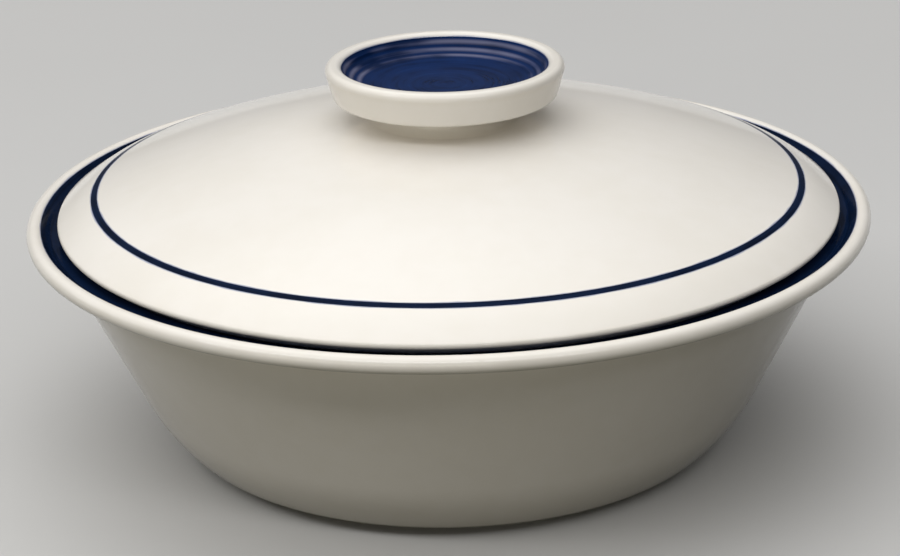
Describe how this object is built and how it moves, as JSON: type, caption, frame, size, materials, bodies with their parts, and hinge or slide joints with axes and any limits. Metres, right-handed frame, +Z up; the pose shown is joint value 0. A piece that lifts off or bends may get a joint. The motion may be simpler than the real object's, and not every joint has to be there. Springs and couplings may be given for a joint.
{
  "type": "covered vegetable dish",
  "caption": "Round covered vegetable dish in white glazed stoneware with cobalt blue bands: flared bowl with a rolled lip, and a domed lift-off lid with a saucer-shaped knob.",
  "frame": {"origin": "centre of the foot ring's underside, on the table", "axes": "+Z up along the dish's axis of rotation; X and Y level, the dish is round so their turn is free"},
  "size_m": [0.25, 0.25, 0.1147],
  "materials": {
    "white_glaze": "warm white stoneware glaze, glossy, bare clay on the foot ring",
    "cobalt_glaze": "dark cobalt blue glaze, glossy, banded on with a brush on the wheel"
  },
  "bodies": {
    "bowl": {"bowl": "white_glaze", "rim_band": "cobalt_glaze"},
    "lid": {"lid": "white_glaze", "lid_line": "cobalt_glaze", "knob": "white_glaze", "well_glaze": "cobalt_glaze"}
  },
  "joints": [
    {"name": "lid_lift", "type": "slide", "parent": "bowl", "child": "lid", "axis": [0, 0, 1], "range_m": [0, 0.15]}
  ]
}
